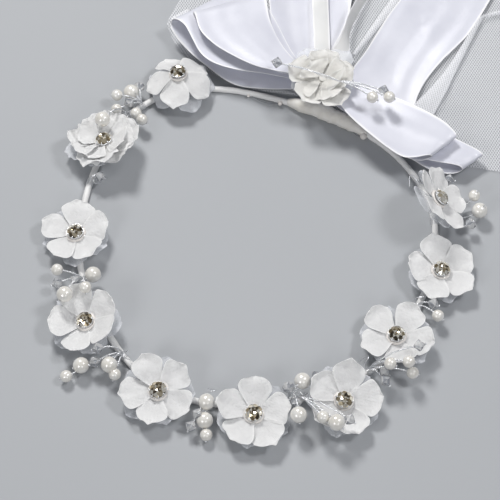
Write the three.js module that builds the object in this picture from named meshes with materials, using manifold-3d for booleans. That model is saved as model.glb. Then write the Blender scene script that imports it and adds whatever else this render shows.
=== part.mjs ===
// Flower crown: a wire ring wrapped in ribbon, fabric flowers with rhinestone centres,
// sprays of beads on wires, and a satin bow with tails, narrow ribbons and a tulle veil.
// Millimetres. +Z is up from the surface the crown lies on, +Y points to the bow at the
// back, and the origin is the ring's centre on that surface. Angles run from +X towards +Y.
import * as THREE from 'three';
import Module from 'manifold-3d';
import { mergeVertices } from 'three/addons/utils/BufferGeometryUtils.js';

const wasm = await Module();
wasm.setup();

// Driving dimensions
const GAP = 0.3;
const WRAP_RADIUS = 1.6;
const WIRE_RADIUS = 0.5;
const WRAP_BORE = 1;
const SLEEVE_RADIUS = 2.9;
const SLEEVE_FROM = 72;
const SLEEVE_TO = 96;
const PETAL_RADIUS = 18.5;
const PETAL_THICKNESS = 0.9;
const ORGANZA_RADIUS = 19.5;
const ORGANZA_THICKNESS = 0.5;
const FLOWER_HOLE = 2;
const STONE_RADIUS = 4.2;
const POST_RADIUS = 1.5;
const PEARL_LARGE = 4;
const PEARL_SMALL = 3;
const CRYSTAL_RADIUS = 3;
const SPRAY_WIRE = 0.45;
const SATIN_WIDTH = 38;
const SATIN_THICKNESS = 0.6;
const NARROW_WIDTH = 10;
const TULLE_THICKNESS = 1;
const KNOT = new THREE.Vector3(0, 97, 10);
const KNOT_SIZE = new THREE.Vector3(7.5, 5.8, 8.4);
const HUB_RADIUS = 8.5;

// The hand-bent ring: [angle in degrees, radius] where its curve changes
const RING_BENDS = [
  [92, 87], [106, 90.5], [120, 96.5], [134, 102.5], [148, 102], [162, 96.5], [175, 92], [-170, 88.5],
  [-150, 87.5], [-125, 87.5], [-108, 91], [-88, 92], [-62, 89], [-45, 89.5], [-28, 90.5],
  [-4, 88], [12, 90], [32, 92], [50, 91], [68, 88.5],
];

// Each flower: [angle, radius, height of its base, outward tilt, turn about its own axis,
// how far its petals' rims rise, and its organza's]
const FLOWERS = [
  [132.5, 103.5, 12.4, 6, 3.5, -4.8, -8], [164, 94.5, 9, 12, 5, 4, 1.5],
  [-162, 89.2, 4.5, 5, 54, 4, 1.5], [-130.2, 94.3, 4.7, 12, 40, 4, 1.5],
  [-98.4, 96, 4.6, 10, 12, 4, 1.5], [-70.2, 96.6, 4.6, 8, 30, 4, 1.5],
  [-44.8, 99, 4.8, 12, 70, 4, 1.5], [-18.6, 87.9, 4.5, 0, 24, 4, 1.5],
  [8.7, 93.7, 4.6, 8, 45, 4, 1.5], [30, 92, 16.5, 46, 10, 4, 1.5],
];
const CENTRE_FLOWER = [88, 94.5, 20, -8, 15, 4, 1.5];

// Each spray: the angle where its wires are bound to the ring, whether they leave over
// the top or low on the outside, then its beads as [kind, x, y, z]; L is a large pearl,
// S a small pearl and C a clear crystal
const SPRAYS = [
  [145, 'top', [['S', -97, 57, 8], ['L', -91, 62, 7], ['S', -94, 49, 7], ['C', -88, 66, 8],
    ['C', -89, 54, 9]]],
  [151, 'top', [['S', -83, 49, 9], ['S', -79, 47, 8], ['L', -95, 34, 18]]],
  [177, 'top', [['C', -86, 7, 8]]],
  [-145, 'top', [['S', -85, -51, 8], ['L', -67, -48, 9], ['L', -74, -66, 15], ['S', -66, -59, 15],
    ['C', -82, -58, 8], ['C', -74, -54, 9]]],
  [-115, 'top', [['S', -59, -102, 4], ['L', -54, -95, 6], ['L', -41, -91, 8], ['S', -37, -94, 6],
    ['C', -48, -87, 13], ['C', -48, -92, 8]]],
  [-84, 'top', [['L', 10, -94, 9], ['L', 12, -102, 6], ['S', 15, -108, 4], ['C', 8, -101, 8],
    ['C', 7, -107, 6]]],
  [-59.8, 'top', [['C', 44, -74, 10], ['L', 49, -68, 9], ['C', 54, -62, 6]]],
  [-57.2, 'top', [['L', 53.6, -86.9, 12], ['C', 50, -80, 9], ['S', 65, -85, 14], ['L', 72, -86, 15],
    ['C', 77, -82, 14]]],
  [-32.5, 'top', [['S', 86, -48, 15], ['C', 84, -50, 9], ['C', 86, -54, 8], ['S', 94, -44, 15],
    ['S', 97, -46, 9], ['C', 96, -34, 15]]],
  [-4.7, 'top', [['C', 95, -6, 8], ['S', 99, -11, 7]]],
  [28, 'low', [['C', 99, 45, 7], ['S', 96, 61, 8], ['L', 101, 54, 7]]],
  [43, 'top', [['C', 81, 67, 6]]],
];

const toRadians = THREE.MathUtils.degToRad;

// Materials
function material(colour, roughness, metalness = 0, opacity = 1) {
  const transparent = opacity < 1;
  return new THREE.MeshStandardMaterial({ color: colour, roughness, metalness, opacity, transparent });
}
const WRAP = material('#f2f1ee', 0.45);
const WIRE = material('#c9ccd1', 0.3, 1);
const PETAL = material('#f4f5f7', 0.85);
const ORGANZA = material('#dfe3e8', 0.6, 0, 0.5);
const STONE = material('#cfc9b6', 0.1, 0.3);
const PEARL = material('#f1ebe2', 0.2);
const SATIN = material('#ecebf6', 0.35);
const RIBBON = material('#f3f2f0', 0.5);
const TULLE = material('#e4e8ee', 0.7, 0, 0.4);

const crown = new THREE.Group();

function addPiece(name, geometry, surface, parent = crown) {
  const mesh = new THREE.Mesh(geometry, surface);
  mesh.name = name;
  parent.add(mesh);
  return mesh;
}

// Points of a regular outline, turned half a step so that it has flats on its axes. Along
// the ring's path a section's -X is up, so raise lifts it.
function polygon(Path, radius, sides, raise = 0) {
  const outline = new Path();
  for (let i = 0; i < sides; i++) {
    const turn = (i + 0.5) * 2 * Math.PI / sides;
    const point = [radius * Math.cos(turn) - raise, radius * Math.sin(turn)];
    if (i === 0) outline.moveTo(...point);
    else outline.lineTo(...point);
  }
  outline.closePath();
  return outline;
}

// A tube along a curve, hollow when it has a bore
function tube(curve, radius, sides, steps, bore = 0, raise = 0) {
  const section = polygon(THREE.Shape, radius, sides, raise);
  if (bore > 0) section.holes.push(polygon(THREE.Path, bore, 6));
  return new THREE.ExtrudeGeometry(section, { steps, extrudePath: curve, bevelEnabled: false });
}

// A flat box bent into a ribbon: place(along, across) gives the middle surface, with
// along from 0 to 1 and across from -1 to 1
function bentStrip(steps, columns, thickness, place) {
  const geometry = new THREE.BoxGeometry(1, 1, 1, steps, columns, 1);
  const position = geometry.getAttribute('position');
  const step = 0.002;
  for (let i = 0; i < position.count; i++) {
    const along = position.getX(i) + 0.5;
    const across = position.getY(i) * 2;
    const side = position.getZ(i);
    const ahead = place(along + step, across).sub(place(along - step, across));
    const aside = place(along, across + step).sub(place(along, across - step));
    const normal = ahead.cross(aside).normalize();
    const point = place(along, across).addScaledVector(normal, side * thickness);
    position.setXYZ(i, point.x, point.y, point.z);
  }
  geometry.computeVertexNormals();
  return geometry;
}

// The ring's centre line
const RING_HEIGHT = WRAP_RADIUS * Math.cos(Math.PI / 8);
const ringPoints = RING_BENDS.map(([angle, radius]) => new THREE.Vector3(
  radius * Math.cos(toRadians(angle)), radius * Math.sin(toRadians(angle)), RING_HEIGHT));
const ringCurve = new THREE.CatmullRomCurve3(ringPoints, true, 'centripetal');

// The curve's parameter at an angle seen from the ring's centre
function ringParameter(angle) {
  let best = 0;
  let least = Infinity;
  const goal = new THREE.Vector2(Math.cos(toRadians(angle)), Math.sin(toRadians(angle)));
  for (let i = 0; i < 1440; i++) {
    const point = ringCurve.getPointAt(i / 1440);
    const miss = goal.distanceTo(new THREE.Vector2(point.x, point.y).normalize());
    if (miss < least) {
      least = miss;
      best = i / 1440;
    }
  }
  return best;
}

// The stretch of the ring between two parameters; the end may pass 1 and run on round
class RingStretch extends THREE.Curve {
  constructor(from, to) {
    super();
    this.from = from;
    this.to = to;
  }

  getPoint(t, target = new THREE.Vector3()) {
    const place = this.from + (this.to - this.from) * t;
    return target.copy(ringCurve.getPointAt(((place % 1) + 1) % 1));
  }
}

function ring() {
  const sleeveStart = ringParameter(SLEEVE_FROM);
  const sleeveEnd = ringParameter(SLEEVE_TO);
  const margin = 0.0006;
  const round = sleeveStart > sleeveEnd ? 1 : 0;
  const wrapCurve = new RingStretch(sleeveEnd + margin, sleeveStart + 1 - round - margin);
  const sleeveCurve = new RingStretch(sleeveStart - round, sleeveEnd);
  const middle = ringParameter((SLEEVE_FROM + SLEEVE_TO) / 2);
  const wireCurve = new RingStretch(middle + 0.001, middle + 0.999);
  addPiece('ring_wire', tube(wireCurve, WIRE_RADIUS, 4, 56), WIRE);
  addPiece('ring_ribbon_wrap', tube(wrapCurve, WRAP_RADIUS, 8, 40, WRAP_BORE), WRAP);
  const raise = SLEEVE_RADIUS * Math.cos(Math.PI / 8) - RING_HEIGHT;
  addPiece('ring_joint_sleeve', tube(sleeveCurve, SLEEVE_RADIUS, 8, 8, WRAP_BORE, raise), WRAP);
}

// A one-piece cut fabric blossom with a hole for the post, dished towards its rim
function blossom(radius, petals, notch, thickness, cup) {
  const outline = new THREE.Shape();
  const count = petals * 6;
  for (let i = 0; i < count; i++) {
    const turn = i * 2 * Math.PI / count;
    const lobe = Math.sqrt(Math.abs(Math.cos(turn * petals / 2)));
    const reach = radius * (notch + (1 - notch) * lobe);
    const point = [reach * Math.cos(turn), reach * Math.sin(turn)];
    if (i === 0) outline.moveTo(...point);
    else outline.lineTo(...point);
  }
  outline.closePath();
  outline.holes.push(polygon(THREE.Path, FLOWER_HOLE, 8));
  const geometry = new THREE.ExtrudeGeometry(outline, { depth: thickness, steps: 1, bevelEnabled: false });
  const position = geometry.getAttribute('position');
  for (let i = 0; i < position.count; i++) {
    const reach = Math.hypot(position.getX(i), position.getY(i)) / radius;
    position.setZ(i, position.getZ(i) + cup * reach * reach);
  }
  geometry.computeVertexNormals();
  return geometry;
}

// A foiled stone in its claw cup, on the post that goes through the fabric layers
function rhinestone() {
  const profile = [
    [0, -0.4], [POST_RADIUS, -0.4], [POST_RADIUS, 2.4], [STONE_RADIUS, 2.7],
    [STONE_RADIUS, 4.2], [STONE_RADIUS * 0.7, 5.6], [0, 6],
  ];
  const geometry = new THREE.LatheGeometry(profile.map(([r, z]) => new THREE.Vector2(r, z)), 8);
  geometry.rotateX(Math.PI / 2);
  return geometry;
}

// Nested groups stand a flower at its place, lean it outwards and turn it
function flowerStand([angle, radius, height, tilt, turn]) {
  const place = new THREE.Group();
  place.position.set(radius * Math.cos(toRadians(angle)), radius * Math.sin(toRadians(angle)), height);
  place.rotation.z = toRadians(angle);
  const lean = new THREE.Group();
  lean.rotation.y = toRadians(tilt);
  const spin = new THREE.Group();
  spin.rotation.z = toRadians(turn);
  crown.add(place);
  place.add(lean);
  lean.add(spin);
  return spin;
}

function fabricLayers(name, stand, petalCup, organzaCup) {
  const petals = blossom(PETAL_RADIUS, 5, 0.52, PETAL_THICKNESS, petalCup);
  addPiece(`${name}_petals`, petals, PETAL, stand).position.z = 0.5;
  const organza = blossom(ORGANZA_RADIUS, 5, 0.62, ORGANZA_THICKNESS, organzaCup);
  const under = addPiece(`${name}_organza`, organza, ORGANZA, stand);
  under.position.z = -ORGANZA_THICKNESS;
  under.rotation.z = Math.PI / 5;
}

function flowers() {
  FLOWERS.forEach((flower, index) => {
    const name = `flower_${String(index + 1).padStart(2, '0')}`;
    const [petalCup, organzaCup] = flower.slice(5);
    const stand = flowerStand(flower);
    fabricLayers(name, stand, petalCup, organzaCup);
    addPiece(`${name}_rhinestone`, rhinestone(), STONE, stand);
  });
  const [petalCup, organzaCup] = CENTRE_FLOWER.slice(5);
  fabricLayers('flower_centre', flowerStand(CENTRE_FLOWER), petalCup, organzaCup);
}

// A closed geometry as a solid that can be joined to others
function solid(geometry) {
  const bare = geometry.clone();
  bare.deleteAttribute('normal');
  bare.deleteAttribute('uv');
  const merged = mergeVertices(bare, 1e-4);
  const vertProperties = new Float32Array(merged.getAttribute('position').array);
  const triVerts = new Uint32Array(merged.getIndex().array);
  return new wasm.Manifold(new wasm.Mesh({ numProp: 3, vertProperties, triVerts }));
}

function joined(geometries) {
  const whole = geometries.map(solid).reduce((sum, next) => sum.add(next)).getMesh();
  const geometry = new THREE.BufferGeometry();
  geometry.setAttribute('position', new THREE.BufferAttribute(new Float32Array(whole.vertProperties), 3));
  geometry.setIndex(new THREE.BufferAttribute(new Uint32Array(whole.triVerts), 1));
  geometry.computeVertexNormals();
  return geometry;
}

function bead(kind, centre) {
  let geometry;
  if (kind === 'C') {
    const profile = [[0, -CRYSTAL_RADIUS], [CRYSTAL_RADIUS, 0], [0, CRYSTAL_RADIUS]];
    geometry = new THREE.LatheGeometry(profile.map(([r, z]) => new THREE.Vector2(r, z)), 6);
  } else {
    geometry = new THREE.SphereGeometry(kind === 'L' ? PEARL_LARGE : PEARL_SMALL, 8, 5);
  }
  return geometry.translate(centre.x, centre.y, centre.z);
}

// Wires fan out from a binding and end in beads
function spray(binding, root, beads, low = false) {
  const pieces = [binding];
  for (const [kind, x, y, z] of beads) {
    const tip = new THREE.Vector3(x, y, z);
    const bend = root.clone().lerp(tip, low ? 0.9 : 0.25);
    bend.z = low ? root.z - 0.6 : Math.max(root.z, tip.z) + 3;
    pieces.push(tube(new THREE.QuadraticBezierCurve3(root, bend, tip), SPRAY_WIRE, 4, 4));
    pieces.push(bead(kind, tip));
  }
  return joined(pieces);
}

function sprays() {
  const bindingRadius = 0.8;
  const clear = WRAP_RADIUS + GAP + bindingRadius;
  SPRAYS.forEach(([angle, exit, beads], index) => {
    const at = ringParameter(angle);
    const root = ringCurve.getPointAt(at);
    const low = exit === 'low';
    if (low) root.addScaledVector(new THREE.Vector3(root.x, root.y, 0).normalize(), clear);
    else root.z += clear;
    const along = ringCurve.getTangentAt(at).multiplyScalar(1.6);
    const line = new THREE.LineCurve3(root.clone().sub(along), root.clone().add(along));
    const name = `spray_${String(index + 1).padStart(2, '0')}`;
    addPiece(name, spray(tube(line, bindingRadius, 6, 1), root, beads, low), PEARL);
  });
  const root = new THREE.Vector3(13, 91, 28);
  const line = new THREE.LineCurve3(new THREE.Vector3(-15, 92, 28), root);
  const beads = [['S', 32, 88, 27], ['S', 40, 91, 27], ['C', 36, 94, 27], ['C', -21, 92, 27]];
  addPiece('spray_centre', spray(tube(line, SPRAY_WIRE, 5, 1), root, beads), PEARL);
}

// A bow loop: a ribbon that leaves the knot, folds over and comes back underneath.
// direction is its angle, reach its length, height its middle, puff half its height,
// skew how far the fold leans along the loop
function bowLoop(name, direction, reach, height, puff, skew) {
  const out = new THREE.Vector3(Math.cos(toRadians(direction)), Math.sin(toRadians(direction)), 0);
  const side = new THREE.Vector3(-out.y, out.x, 0);
  const place = (along, across) => {
    const swell = Math.sin(Math.PI * THREE.MathUtils.clamp(along, 0, 1));
    const distance = HUB_RADIUS + reach * swell + skew * across * swell;
    const half = SATIN_WIDTH / 2 * (0.3 + 0.7 * Math.sqrt(swell));
    const lift = puff * Math.cos(Math.PI * along) * (0.3 + 0.7 * swell) * 1.4;
    return new THREE.Vector3(KNOT.x, KNOT.y, height + lift)
      .addScaledVector(out, distance)
      .addScaledVector(side, across * half);
  };
  addPiece(name, bentStrip(18, 2, SATIN_THICKNESS, place), SATIN);
}

// A ribbon that lies flat from the knot to its cut end, pinched where it starts
function tail(name, surface, width, height, pinch, start, bend, end) {
  const flat = ([x, y]) => new THREE.Vector3(x, y, height);
  const middle = new THREE.QuadraticBezierCurve3(flat(start), flat(bend), flat(end));
  const place = (along, across) => {
    const ahead = middle.getTangent(THREE.MathUtils.clamp(along, 0, 1));
    const side = new THREE.Vector3(-ahead.y, ahead.x, 0);
    const open = pinch + (1 - pinch) * THREE.MathUtils.clamp(along * 2.4, 0, 1);
    return middle.getPoint(along).addScaledVector(side, across * width / 2 * open);
  };
  addPiece(name, bentStrip(8, 1, SATIN_THICKNESS, place), surface);
}

// How far the veil reaches from the knot: less on its left side than on its right
function veilReach(turn) {
  const sideways = Math.cos(turn - toRadians(8)) ** 2;
  return turn > Math.PI / 2 ? 128 - 46 * sideways : 128 + 6.9 * sideways;
}

// The veil: tulle gathered at the knot and spread like a fan behind the ring
function tulle() {
  const middle = GAP + TULLE_THICKNESS / 2;
  const place = (along, across) => {
    const turn = toRadians(172 - 170 * along);
    const distance = HUB_RADIUS + (veilReach(turn) - HUB_RADIUS) * (across + 1) / 2;
    const x = KNOT.x + distance * Math.cos(turn);
    const y = KNOT.y + distance * Math.sin(turn);
    return new THREE.Vector3(x, y, middle);
  };
  addPiece('tulle_veil', bentStrip(16, 2, TULLE_THICKNESS, place), TULLE);
}

function bow() {
  const knot = new THREE.SphereGeometry(1, 10, 6).scale(KNOT_SIZE.x, KNOT_SIZE.y, KNOT_SIZE.z);
  addPiece('bow_knot', knot, SATIN).position.copy(KNOT);
  bowLoop('bow_loop_left_lower', 161, 70, 8.5, 3, 12);
  bowLoop('bow_loop_left_upper', 152, 56, 16.4, 3, 9);
  bowLoop('bow_loop_right_lower', -5, 80, 8.5, 3, -6);
  bowLoop('bow_loop_right_upper', -8, 62, 16.4, 3, -6);
  tail('satin_tail_left', SATIN, SATIN_WIDTH, 2.2, 0.3, [-7, 104], [-12, 120], [-46, 220]);
  tail('satin_tail_right', SATIN, SATIN_WIDTH, 2.2, 0.3, [9, 102], [32, 106], [46, 222]);
  tail('narrow_ribbon_left', RIBBON, NARROW_WIDTH, 3.2, 0.5, [-2, 105], [-4, 120], [-30, 200]);
  tail('narrow_ribbon_right', RIBBON, NARROW_WIDTH, 4.2, 0.5, [2, 105], [0, 130], [4, 208]);
}

ring();
flowers();
sprays();
bow();
tulle();

export default crown;
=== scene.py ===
"""Flower crown: ribbon-wrapped ring, fabric blossoms, bead sprays, satin bow and tulle veil.

Lengths are in millimetres and are scaled to metres when a mesh is made. Angles are in
degrees round the ring, from +X towards +Y, and the bow is at +Y.
"""
import math
import random

import bpy
import numpy as np
from mathutils import Matrix, Vector, noise


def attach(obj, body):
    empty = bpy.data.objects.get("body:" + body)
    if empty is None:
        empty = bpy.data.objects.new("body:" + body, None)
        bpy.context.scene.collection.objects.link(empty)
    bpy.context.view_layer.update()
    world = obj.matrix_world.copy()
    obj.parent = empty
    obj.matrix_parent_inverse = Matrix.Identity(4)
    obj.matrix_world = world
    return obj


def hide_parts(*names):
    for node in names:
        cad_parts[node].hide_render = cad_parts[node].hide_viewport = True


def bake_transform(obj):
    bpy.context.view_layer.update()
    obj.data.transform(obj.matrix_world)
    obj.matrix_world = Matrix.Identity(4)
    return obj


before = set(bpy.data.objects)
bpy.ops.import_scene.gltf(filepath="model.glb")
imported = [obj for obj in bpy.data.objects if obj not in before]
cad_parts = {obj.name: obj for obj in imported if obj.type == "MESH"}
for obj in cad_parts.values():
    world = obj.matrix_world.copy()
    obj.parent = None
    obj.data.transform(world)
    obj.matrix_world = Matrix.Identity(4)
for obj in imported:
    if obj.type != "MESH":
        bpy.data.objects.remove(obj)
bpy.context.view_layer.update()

MM = 0.001

# ---------------------------------------------------------------- driving dimensions
WRAP_RADIUS = 1.6
RING_HEIGHT = WRAP_RADIUS * math.cos(math.pi / 8)
WRAP_PITCH = 4.6
SLEEVE = (70, 98)
PETAL_RADIUS = 18.5
PEARL = {"L": 4.0, "S": 3.0}
CRYSTAL_RADIUS = 3.0
KNOT = Vector((0, 97, 10))
BINDING_RADIUS = 1.78
BINDING_LENGTH = 3.6
BINDING_TURNS = 4.5
NARROW_HALF_WIDTH = 4.4
NET_PITCH = 1.4
GATHER_RADIUS = 6

# The ring's bends: (angle, radius)
RING_BENDS = [
    (92, 87), (106, 90.5), (120, 96.5), (134, 102.5), (148, 102), (162, 96.5), (175, 92), (-170, 88.5),
    (-150, 87.5), (-125, 87.5), (-108, 91), (-88, 92), (-62, 89), (-45, 89.5), (-28, 90.5),
    (-4, 88), (12, 90), (32, 92), (50, 91), (68, 88.5),
]

# Each flower: angle, radius, height of its base, outward tilt, turn, and its petals' dish
FLOWERS = [
    (132.5, 103.5, 12.4, 6, 3.5, -2.0), (164, 94.5, 9, 12, 5, 0.7), (-162, 89.2, 4.5, 5, 54, 0.8),
    (-130.2, 94.3, 4.7, 12, 40, 1.9), (-98.4, 96, 4.6, 10, 12, 0.8), (-70.2, 96.6, 4.6, 8, 30, 0.9),
    (-44.8, 99, 4.8, 12, 70, 1.2), (-18.6, 87.9, 4.5, 0, 24, 0.9), (8.7, 93.7, 4.6, 8, 45, 0.8),
    (30, 92, 16.5, 46, 10, 1.0),
]
RUFFLED = 2
CENTRE_FLOWER = (88, 94.5, 20, -8, 15, 0.5)

# Each spray: where it is bound to the ring, how its wires leave, and its beads
SPRAYS = [
    (145, "top", [("S", -97, 57, 8), ("L", -91, 62, 7), ("S", -94, 49, 7), ("C", -88, 66, 8),
                  ("C", -89, 54, 9)]),
    (151, "top", [("S", -83, 49, 9), ("S", -79, 47, 8), ("L", -95, 34, 18)]),
    (177, "top", [("C", -86, 7, 8)]),
    (-145, "top", [("S", -85, -51, 8), ("L", -67, -48, 9), ("L", -74, -66, 15), ("S", -66, -59, 15),
                   ("C", -82, -58, 8), ("C", -74, -54, 9)]),
    (-115, "top", [("S", -59, -102, 4), ("L", -54, -95, 6), ("L", -41, -91, 8), ("S", -37, -94, 6),
                   ("C", -48, -87, 13), ("C", -48, -92, 8)]),
    (-84, "top", [("L", 10, -94, 9), ("L", 12, -102, 6), ("S", 15, -108, 4), ("C", 8, -101, 8),
                  ("C", 7, -107, 6)]),
    (-59.8, "top", [("C", 44, -74, 10), ("L", 49, -68, 9), ("C", 54, -62, 6)]),
    (-57.2, "top", [("L", 53.6, -86.9, 12), ("C", 50, -80, 9), ("S", 65, -85, 14), ("L", 72, -86, 15),
                    ("C", 77, -82, 14)]),
    (-32.5, "top", [("S", 86, -48, 15), ("C", 84, -50, 9), ("C", 86, -54, 8), ("S", 94, -44, 15),
                    ("S", 97, -46, 9), ("C", 96, -34, 15)]),
    (-4.7, "top", [("C", 95, -6, 8), ("S", 99, -11, 7)]),
    (28, "low", [("C", 99, 45, 7), ("S", 96, 61, 8), ("L", 101, 54, 7)]),
    (43, "top", [("C", 81, 67, 6)]),
]


# ---------------------------------------------------------------- camera, light and floor
def camera():
    azimuth, elevation, distance = math.radians(20), math.radians(59.1), 0.935
    back = Vector((math.sin(azimuth) * math.cos(elevation),
                   -math.cos(azimuth) * math.cos(elevation), math.sin(elevation)))
    data = bpy.data.cameras.new("camera")
    data.lens = 135
    data.sensor_width = 36
    data.clip_end = 20
    eye = bpy.data.objects.new("camera", data)
    eye.location = Vector((-0.0003, -0.0056, 0.004)) + back * distance
    eye.rotation_euler = back.to_track_quat("Z", "Y").to_euler()
    bpy.context.scene.collection.objects.link(eye)
    bpy.context.scene.camera = eye


def area_light(name, place, aim, size, power, colour=(1, 1, 1)):
    data = bpy.data.lights.new(name, "AREA")
    data.shape = "DISK"
    data.size = size
    data.energy = power
    data.color = colour
    lamp = bpy.data.objects.new(name, data)
    lamp.location = place
    lamp.rotation_euler = (Vector(place) - Vector(aim)).to_track_quat("Z", "Y").to_euler()
    bpy.context.scene.collection.objects.link(lamp)


def lights():
    area_light("key", (-0.5, 0.55, 1.0), (0, 0, 0), 0.3, 9.5, (1.0, 0.99, 0.975))
    area_light("key_right", (0.6, 0.25, 1.0), (0, 0, 0), 0.26, 3.8, (0.99, 0.99, 1.0))
    area_light("fill", (0.7, -0.8, 0.8), (0, 0, 0), 0.5, 1.5, (0.98, 0.99, 1.0))
    area_light("front", (-0.3, -1.0, 0.7), (0, 0, 0), 0.45, 3.0)
    world = bpy.data.worlds.new("studio")
    world.use_nodes = True
    world.node_tree.nodes["Background"].inputs["Color"].default_value = (0.9, 0.91, 0.95, 1)
    world.node_tree.nodes["Background"].inputs["Strength"].default_value = 0.22
    bpy.context.scene.world = world
    bpy.context.scene.view_settings.view_transform = "Standard"


# ---------------------------------------------------------------- materials
class Shader:
    """A material with a Principled shader and short ways to add nodes to it."""

    def __init__(self, name, colour, roughness, **inputs):
        self.material = bpy.data.materials.new(name)
        self.material.use_nodes = True
        self.tree = self.material.node_tree
        self.base = self.tree.nodes["Principled BSDF"]
        self.base.inputs["Base Color"].default_value = (*colour, 1)
        self.base.inputs["Roughness"].default_value = roughness
        for socket, value in inputs.items():
            self.base.inputs[socket.replace("_", " ")].default_value = value

    def node(self, kind, settings=None, **links):
        made = self.tree.nodes.new(kind)
        for key, value in (settings or {}).items():
            if key in made.inputs:
                made.inputs[key].default_value = value
            else:
                setattr(made, key, value)
        for socket, source in links.items():
            self.link(source, made.inputs[socket.replace("_", " ")])
        return made

    def link(self, source, target):
        self.tree.links.new(source, target)

    def math(self, operation, a, b=None):
        made = self.tree.nodes.new("ShaderNodeMath")
        made.operation = operation
        for slot, value in enumerate((a, b)):
            if value is None:
                continue
            if isinstance(value, (int, float)):
                made.inputs[slot].default_value = value
            else:
                self.link(value, made.inputs[slot])
        return made.outputs[0]

    def ramp(self, factor, *stops):
        made = self.tree.nodes.new("ShaderNodeValToRGB")
        while len(made.color_ramp.elements) < len(stops):
            made.color_ramp.elements.new(0.5)
        for element, (place, colour) in zip(made.color_ramp.elements, stops):
            element.position = place
            element.color = (*colour, 1)
        self.link(factor, made.inputs["Fac"])
        return made.outputs["Color"]

    def noise(self, scale, detail=3.0, coordinates=None):
        made = self.node("ShaderNodeTexNoise", {"Scale": scale, "Detail": detail})
        if coordinates is not None:
            self.link(coordinates, made.inputs["Vector"])
        return made.outputs["Fac"]

    def place(self):
        return self.node("ShaderNodeTexCoord").outputs["Object"]

    def uv(self):
        return self.node("ShaderNodeUVMap", {"uv_map": "cloth"}).outputs["UV"]

    def axes(self, vector):
        made = self.node("ShaderNodeSeparateXYZ", Vector=vector)
        return made.outputs["X"], made.outputs["Y"]

    def bump(self, height, strength, distance):
        made = self.node("ShaderNodeBump", {"Strength": strength, "Distance": distance}, Height=height)
        self.link(made.outputs["Normal"], self.base.inputs["Normal"])

    def weave(self, pitch, coordinates):
        """Height of a plain weave whose threads are pitch apart in the coordinates' units."""
        x, y = self.axes(coordinates)
        turn = 2 * math.pi / pitch
        along = self.math("SINE", self.math("MULTIPLY", x, turn))
        across = self.math("SINE", self.math("MULTIPLY", y, turn))
        return self.math("MULTIPLY", along, across)


def petal_material(name, inner, rim):
    s = Shader(name, rim, 0.95, Sheen_Weight=0.35, Sheen_Roughness=0.6, Subsurface_Weight=0.2,
               Subsurface_Scale=0.0025, Subsurface_Radius=(1, 1, 1), Specular_IOR_Level=0.2)
    edge = s.node("ShaderNodeAttribute", {"attribute_name": "edge"}).outputs["Fac"]
    blotch = s.noise(420, 4, s.place())
    # Painted shade and painted light: the edge mask makes the petals darker towards their middle and the
    # flower's centre and lighter at their rims; the blotch noise adds the fabric's own mottling.
    painted_shade_and_blotch = s.math("ADD", edge, s.math("MULTIPLY", s.math("SUBTRACT", blotch, 0.5), 0.35))
    middle = tuple((a + b) / 2 for a, b in zip(inner, rim))
    s.link(s.ramp(painted_shade_and_blotch, (0.1, inner), (0.62, middle), (0.95, rim)), s.base.inputs["Base Color"])
    x, _ = s.axes(s.uv())
    vein = s.math("SINE", s.math("MULTIPLY", x, 9))
    nap = s.math("ADD", s.noise(3800, 3, s.place()), s.math("MULTIPLY", s.noise(750, 4, s.place()), 1.6))
    s.bump(s.math("ADD", s.math("MULTIPLY", vein, 0.12), nap), 0.6, 0.0006)
    return s.material


def organza_material():
    s = Shader("organza", (0.88, 0.9, 0.94), 0.5, Sheen_Weight=0.3)
    weave = s.weave(0.55, s.uv())
    edge = s.node("ShaderNodeAttribute", {"attribute_name": "edge"}).outputs["Fac"]
    rim = s.math("MULTIPLY", s.math("POWER", edge, 6), 0.35)
    cloud = s.math("MULTIPLY", s.noise(260, 3, s.place()), 0.3)
    alpha = s.math("ADD", s.math("ADD", s.math("MULTIPLY", weave, 0.14), 0.2), s.math("ADD", rim, cloud))
    s.link(alpha, s.base.inputs["Alpha"])
    s.bump(weave, 0.2, 0.0001)
    return s.material


def satin_material(name, shade, light, roughness):
    s = Shader(name, light, roughness, Sheen_Weight=0.05, Anisotropic=0.6, Specular_IOR_Level=0.8,
               Coat_Weight=0.1)
    x, y = s.axes(s.uv())
    selvage_and_highlight = s.node("ShaderNodeAttribute", {"attribute_name": "edge"}).outputs["Fac"]
    # Painted highlight: the ribbon's borders are lightened towards near white, standing in for light catching
    # its edges; the raised selvage itself is real and is bumped below.
    drift = s.math("ADD", s.noise(38, 3, s.place()), s.math("MULTIPLY", selvage_and_highlight, 0.7))
    tint = s.ramp(drift, (0.3, shade), (0.7, light), (1.0, (0.96, 0.96, 0.98)))
    s.link(tint, s.base.inputs["Base Color"])
    thread = s.math("SINE", s.math("MULTIPLY", x, 2 * math.pi / 0.32))
    slub = s.node("ShaderNodeTexNoise", {"Scale": 1.0, "Detail": 2.0})
    stretched = s.node("ShaderNodeCombineXYZ", X=s.math("MULTIPLY", x, 3.0), Y=s.math("MULTIPLY", y, 0.12))
    s.link(stretched.outputs["Vector"], slub.inputs["Vector"])
    relief = s.math("ADD", s.math("MULTIPLY", thread, 0.3), slub.outputs["Fac"])
    s.bump(s.math("ADD", relief, s.math("MULTIPLY", selvage_and_highlight, 2.0)), 0.2, 0.0002)
    shine = s.node("ShaderNodeMapRange", {"To Min": roughness - 0.05, "To Max": roughness + 0.09},
                   Value=slub.outputs["Fac"])
    s.link(shine.outputs["Result"], s.base.inputs["Roughness"])
    return s.material


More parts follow.
